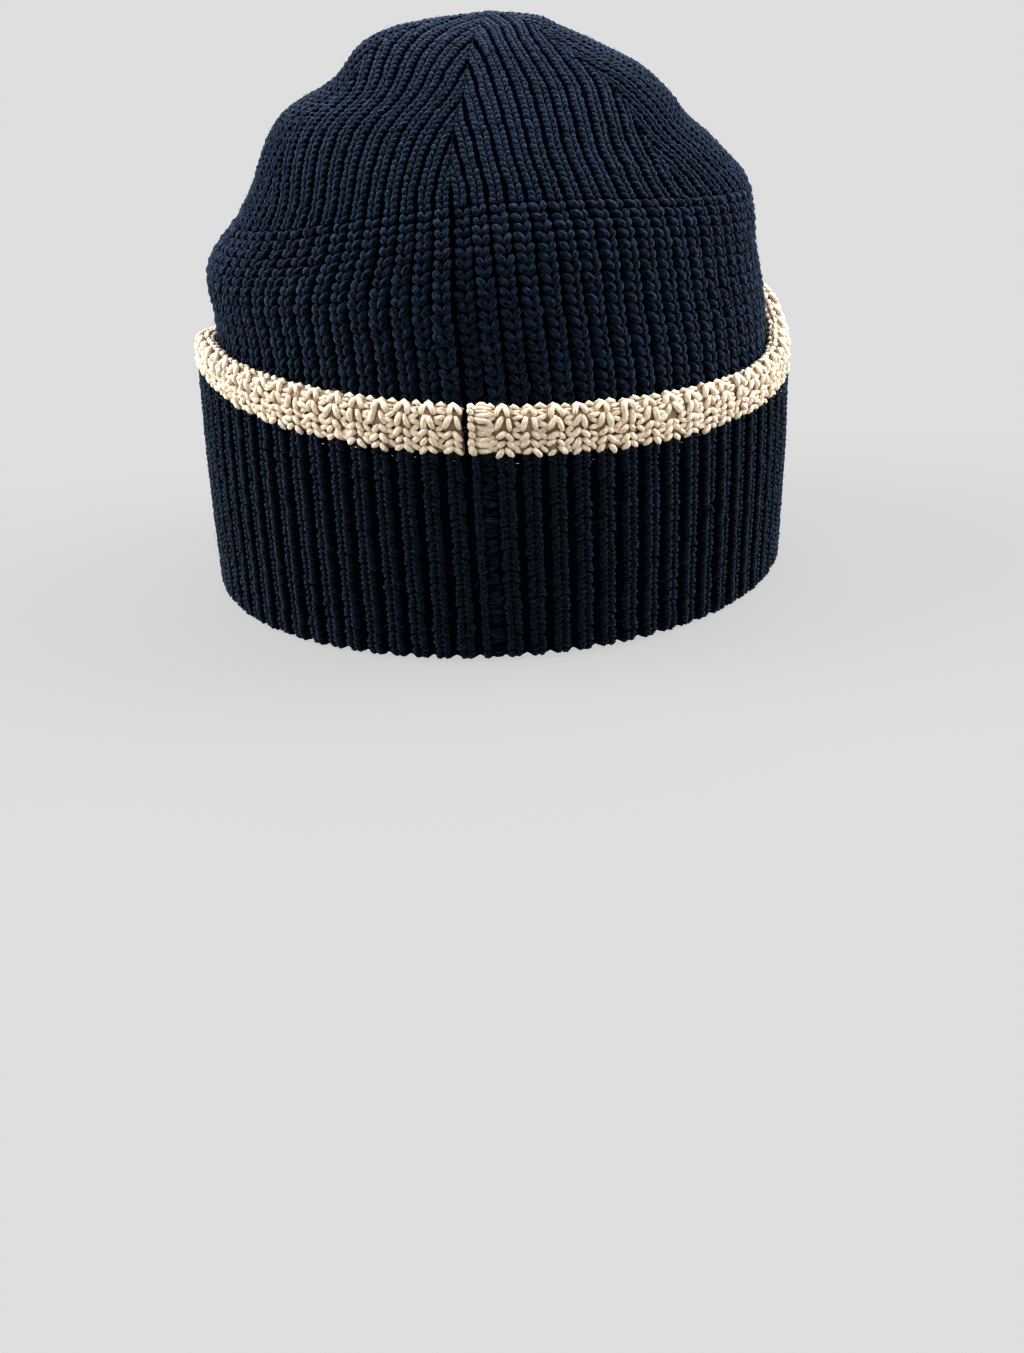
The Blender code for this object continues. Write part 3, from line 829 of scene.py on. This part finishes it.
def build_top():
    """The crown top: fine plain ribs in two columns of small beans, ending at the darts."""
    per_gore = RIBS_PER_GORE * COLUMNS_PER_RIB
    gores = np.repeat(np.arange(GORES), per_gore)
    units = np.tile(np.arange(per_gore) / per_gore - 0.5, GORES)

    def ring(share, outward_of):
        azimuth = azimuth_of((gores + 0.5 + units) / GORES, "top")
        row = row_at(azimuth, share * apex_length(azimuth))
        kept = kept_ribs(azimuth, row)
        return crown_point(azimuth, row, outward_of(units * RIBS_PER_GORE * kept, kept))

    def under(across, kept):
        near_dart = np.clip(1 - (RIBS_PER_GORE * kept / 2 - np.abs(across)) / DART_REACH, 0, 1)
        return cloth_drop("top", np.maximum(rib_shape(across + 0.5), near_dart))

    def inside(across, _):
        return inner_face(across + 0.5)

    apex = np.array((aside(np.array(float(LAST_ROW))), 0.0, CROWN_HEIGHT))
    cloth = Mesh()
    rings = [ring(share, under) for share in TOP_RINGS[::-1]] + [ring(share, inside) for share in TOP_RINGS]
    sheet(cloth, rings, tips=(apex - (0, 0, APEX_DROP), apex - (0, 0, KNIT_THICK)))
    cloth.build("top_cloth", NAVY_PAINTED_SHADE, "navy_knit", "crown_top")

    found = top_centres()

    def place(numbers, rib, up, x, y, out):
        gore = found[:, 0][numbers]
        length = apex_length(azimuth_of((gore + 0.5) / GORES, "top"))
        wander = wobble(rib + gore * RIBS_PER_GORE, up * TOP_LENGTH, WANDER["top"])
        return place_top(gore, rib + (x + wander) / RIB_PITCH, np.clip(up + y / length, 0, 0.999), out)

    stitches = Mesh()
    for table in (TOP_LEFT, TOP_RIGHT):
        shape = bean(table, RIB_PITCH, TOP_PITCH)
        lay_beans(stitches, shape, found[:, 1:], place, turn=4, size=0.05, shift=0.00008)
    stitches.build("top_stitches", NAVY, "navy_knit", "crown_top")


def build_cuff():
    """The turned-up cuff: two columns of small dashes on each rib, and wide dark grooves, their cloth
    darkened as painted shade.
    """
    columns = rib_columns()
    azimuth = azimuth_of(columns / RIBS, "cuff")
    drop = cloth_drop("cuff", rib_shape(columns))

    def ring(level, outward):
        return place_cuff(columns, level * np.ones_like(columns), outward)

    rings = [ring(RIM_RADIUS * share, drop * RIM_DROP) for share in RIM_LEVELS]
    for share in np.linspace(0, 1, CUFF_RINGS):
        rings.append(ring(RIM_RADIUS + (cuff_join(azimuth) - RIM_RADIUS) * share, drop))
    rings.append(wall_point(azimuth, cuff_join(azimuth), CUFF_CLEARANCE))
    rings.append(wall_point(azimuth, FOLD_HEIGHT, CUFF_CLEARANCE))
    rings.append(wall_point(azimuth, FOLD_HEIGHT, inner_face(columns)))
    rings += [wall_point(azimuth, height, out - KNIT_THICK) for height, out in RIM_INSIDE]
    cloth = Mesh()
    sheet(cloth, rings)
    cloth.build("cuff_cloth", NAVY_PAINTED_SHADE, "navy_knit", "cuff")

    ribs, rows = np.meshgrid(np.arange(1, RIBS) + 0.5, np.arange(CUFF_ROWS), indexing="ij")
    ribs, rows = ribs.ravel(), rows.ravel()
    levels = cuff_join(azimuth_of(ribs / RIBS, "cuff")) - (rows + 0.5) * CUFF_PITCH
    centres = np.stack((ribs, levels), -1)[levels > LOWEST_DASH]

    def place(number, rib, level, x, y, out):
        return on_cuff(number, rib, level, x + wobble(rib, level, WANDER["cuff"]), y, out)

    for name, side in (("cuff_stitches_left", -1), ("cuff_stitches_right", 1)):
        shape = bean(CUFF_DASH, side * CUFF_RIB_PITCH, CUFF_PITCH, sides=5)
        stitches = Mesh()
        lay_beans(stitches, shape, centres, place, turn=7, size=0.08, shift=0.00009)
        stitches.build(name, CUFF_NAVY_PAINTED_SHADE, "navy_knit", "cuff")


def build_edge_cloth():
    columns = rib_columns()
    drop = cloth_drop("edge", rib_shape(columns))
    straight = EDGE_HEIGHT - CREST_RADIUS
    past_crest = straight + math.pi * CREST_RADIUS
    lengths = np.concatenate((
        np.linspace(0.0, straight, 7),
        np.linspace(straight, past_crest, 8)[1:],
        (past_crest + 0.006, past_crest + straight),
    ))
    rings = []
    for along in lengths:
        inside = np.clip((along - EDGE_HEIGHT) / (past_crest - EDGE_HEIGHT), 0, 1)
        outward = drop * (1 - inside) - EDGE_INSIDE_DROP * inside
        rings.append(place_edge(columns, np.full_like(columns, along), outward))
    cloth = Mesh()
    sheet(cloth, rings)
    cloth.build("edge_cloth", CREAM_PAINTED_SHADE, "cream_knit", "cuff_edge")


def build_edge_stitches():
    """Inverted V stitches on the edge's ribs, bars between them, and loops and bars over its crest."""
    stitches = Mesh()
    ribs = np.arange(1, RIBS) + 0.5
    grooves = np.arange(1, RIBS).astype(float)
    halves = np.arange(2, RIBS * 2) / 2.0

    def lay(shape, ribs, along, **spread):
        lay_beans(stitches, shape, np.stack((ribs, np.full_like(ribs, along)), -1), on_edge, **spread)

    for side in (-1, 1):
        leg = bean(EDGE_LEG, side * CUFF_RIB_PITCH, EDGE_PITCH)
        for row in range(EDGE_ROWS):
            lay(leg, ribs, (row + ROW_MIDDLE) * EDGE_PITCH, turn=7, size=0.07, shift=0.00020)
        steep = bean(EDGE_STEEP, side * CUFF_RIB_PITCH, MM)
        lay(steep, ribs, STEEP_ROW, turn=8, size=0.08, shift=0.00022)

    lay(bean(EDGE_LOOP, CUFF_RIB_PITCH, MM), ribs, LOOP_CROWN, turn=8, size=0.08, shift=0.00025)

    begin, end = BAR_SINK_RANGE
    for k, along in enumerate(np.arange(*BAR_RANGE, BAR_PITCH)):
        sink = BAR_SINK * np.clip((along - begin) / (end - begin), 0, 1)
        bar = bean(EDGE_BAR, CUFF_RIB_PITCH, MM if k % 2 else -MM, sink=sink)
        lay(bar, grooves, along, turn=9, size=0.08, shift=0.00020)

    for k, along in enumerate(np.arange(*CREST_BAR_RANGE, CREST_BAR_PITCH)):
        crest_bar = bean(CREST_BAR, CUFF_RIB_PITCH, MM if k % 2 else -MM)
        lay(crest_bar, halves, along, turn=7, size=0.08, shift=0.00016)

    spots = rng.choice(np.arange(RIBS * 2) / 2.0, RIBS // 2, replace=False)
    lay(bean(DOT, CUFF_RIB_PITCH, MM, sides=4), spots, DOT_LEVEL, turn=20, size=0.3, shift=0.0004)
    stitches.build("edge_stitches", CREAM, "cream_knit", "cuff_edge")


def build_seam():
    """What the back seam shows beside it, on the cuff and its edge: one plain column, then sunk bars."""
    navy, cream, dark = Mesh(), Mesh(), Mesh()

    def column(mesh, shape, place, rib, levels, **spread):
        lay_beans(mesh, shape, np.stack((np.full_like(levels, rib), levels), -1), place, **spread)

    join = cuff_join(np.radians(RIB_LAY["cuff"][0])) - 0.0004
    stitch = bean(SEAM_STITCH, CUFF_RIB_PITCH, CUFF_PITCH * 1.15)
    levels = np.arange(0.0002, join, CUFF_PITCH * 1.12)
    column(navy, stitch, on_cuff, rib=0.33, levels=levels, turn=9, size=0.10)
    bar = bean(SEAM_BAR, CUFF_RIB_PITCH, MM, sides=5)
    levels = np.arange(0.0004, join, CUFF_PITCH)
    column(navy, bar, on_cuff, rib=0.76, levels=levels, turn=14, size=0.14, shift=0.0003)
    navy.build("seam_column", CUFF_NAVY_PAINTED_SHADE, "navy_knit", "cuff")

    # A dark thread along the edge's seam, in the same darkened navy as the cloth under the stitches:
    # painted shade.
    thread = bean(SEAM_THREAD, CUFF_RIB_PITCH, MM)
    column(dark, thread, on_edge, rib=0.0, levels=np.array((0.0072,)), turn=0, size=0)
    dark.build("edge_seam_thread", NAVY_PAINTED_SHADE, "navy_knit", "cuff_edge")

    knob = bean(SEAM_KNOB, CUFF_RIB_PITCH, EDGE_PITCH)
    column(cream, knob, on_edge, rib=0.22, levels=np.arange(0.0011, 0.0185, EDGE_PITCH), turn=9, size=0.07)
    bar = bean(SEAM_EDGE_BAR, CUFF_RIB_PITCH, MM)
    levels = np.arange(0.0009, 0.0240, BAR_PITCH)
    column(cream, bar, on_edge, rib=0.68, levels=levels, turn=8, size=0.10, shift=0.0002)
    cream.build("seam_edge", CREAM, "cream_knit", "cuff_edge")


def build_lint():
    """Stray fibres that stand off the yarn. The navy ones are paler than their yarn: painted sheen."""
    fibre = bean(FIBRE, MM, MM, sides=3)

    def scatter(mesh, count, low, high, place):
        spots = np.stack((rng.uniform(0, RIBS, count), rng.uniform(low, high, count)), -1)
        lay_beans(mesh, fibre, spots, place, turn=70, size=0.45, shift=0.0003)

    def on_top(_, rib, up, x, y, out):
        gore = np.floor(rib / RIBS_PER_GORE)
        across = (rib - (gore + 0.5) * RIBS_PER_GORE + x / RIB_PITCH) * (1 - up)
        return place_top(gore, across, np.clip(up + y / TOP_LENGTH, 0, 0.99), out)

    navy, cream = Mesh(), Mesh()
    scatter(navy, 420, -0.052, -0.002, on_wall)
    scatter(navy, 380, 0.02, 0.9, on_top)
    scatter(navy, 420, 0.003, 0.056, on_cuff)
    navy.build("navy_lint", LINT_PAINTED_SHEEN, "navy_knit")
    scatter(cream, 420, 0.001, 0.017, on_edge)
    cream.build("cream_lint", CREAM, "cream_knit")


def floor_glow():
    """What a lit floor needs added so that, away from the hat, it is as bright as the background."""
    fall = sum(lamp["strength"] * math.sin(math.radians(lamp["elevation"])) for lamp in LAMPS)
    return BACKGROUND - FLOOR_ALBEDO * (BACKGROUND + fall / math.pi)


def build_floor():
    """A plain pale floor that glows a little, like a light table, and still takes soft shadows."""
    mesh = bpy.data.meshes.new("floor")
    corners = [(x * FLOOR_REACH, y * FLOOR_REACH, 0) for x, y in ((-1, -1), (1, -1), (1, 1), (-1, 1))]
    mesh.from_pydata(corners, [], [(0, 1, 2, 3)])
    material = bpy.data.materials.new("pale_floor")
    material.use_nodes = True
    shader = material.node_tree.nodes["Principled BSDF"]
    shader.inputs["Base Color"].default_value = (FLOOR_ALBEDO, FLOOR_ALBEDO, FLOOR_ALBEDO, 1.0)
    shader.inputs["Roughness"].default_value = 1.0
    shader.inputs["Specular IOR Level"].default_value = 0.0
    shader.inputs["Emission Color"].default_value = (1.0, 1.0, 1.0, 1.0)
    shader.inputs["Emission Strength"].default_value = floor_glow()
    mesh.materials.append(material)
    floor = bpy.data.objects.new("floor", mesh)
    bpy.context.scene.collection.objects.link(floor)


def add_lamp(name, azimuth, elevation, strength, spread):
    data = bpy.data.lights.new(name, "SUN")
    data.energy = strength
    data.angle = math.radians(spread)
    lamp = bpy.data.objects.new(name, data)
    a, e = math.radians(azimuth), math.radians(elevation)
    towards = Vector((math.sin(a) * math.cos(e), -math.cos(a) * math.cos(e), math.sin(e)))
    lamp.rotation_mode = "QUATERNION"
    lamp.rotation_quaternion = towards.to_track_quat("Z", "Y")
    bpy.context.scene.collection.objects.link(lamp)


def build_light():
    world = bpy.data.worlds.new("studio")
    world.use_nodes = True
    back = world.node_tree.nodes["Background"]
    back.inputs["Color"].default_value = (BACKGROUND, BACKGROUND, BACKGROUND, 1.0)
    back.inputs["Strength"].default_value = 1.0
    bpy.context.scene.world = world
    for lamp in LAMPS:
        add_lamp(**lamp)


def build_camera():
    """The photograph's angle: behind the hat, a little above it, and slightly rolled."""
    data = bpy.data.cameras.new("camera")
    data.sensor_fit = "AUTO"
    data.sensor_width = SENSOR
    data.lens = FOCAL_LENGTH / PHOTO_HEIGHT * SENSOR
    data.shift_x = SHIFT_ACROSS / PHOTO_HEIGHT
    data.shift_y = SHIFT_UP / PHOTO_HEIGHT
    data.clip_start, data.clip_end = 0.05, 100.0
    camera = bpy.data.objects.new("camera", data)
    look_down = Matrix.Rotation(math.radians(90) - math.radians(CAMERA_PITCH), 4, "X")
    roll = Matrix.Rotation(-math.radians(CAMERA_ROLL), 4, "Z")
    camera.matrix_world = Matrix.Translation(CAMERA_AT) @ (look_down @ roll)
    bpy.context.scene.collection.objects.link(camera)
    bpy.context.scene.camera = camera


bpy.context.scene.view_settings.view_transform = "Standard"
bpy.context.scene.view_settings.look = "Very High Contrast"
build_camera()
build_wall()
build_top()
build_cuff()
build_edge_cloth()
build_edge_stitches()
build_seam()
build_lint()
build_floor()
build_light()
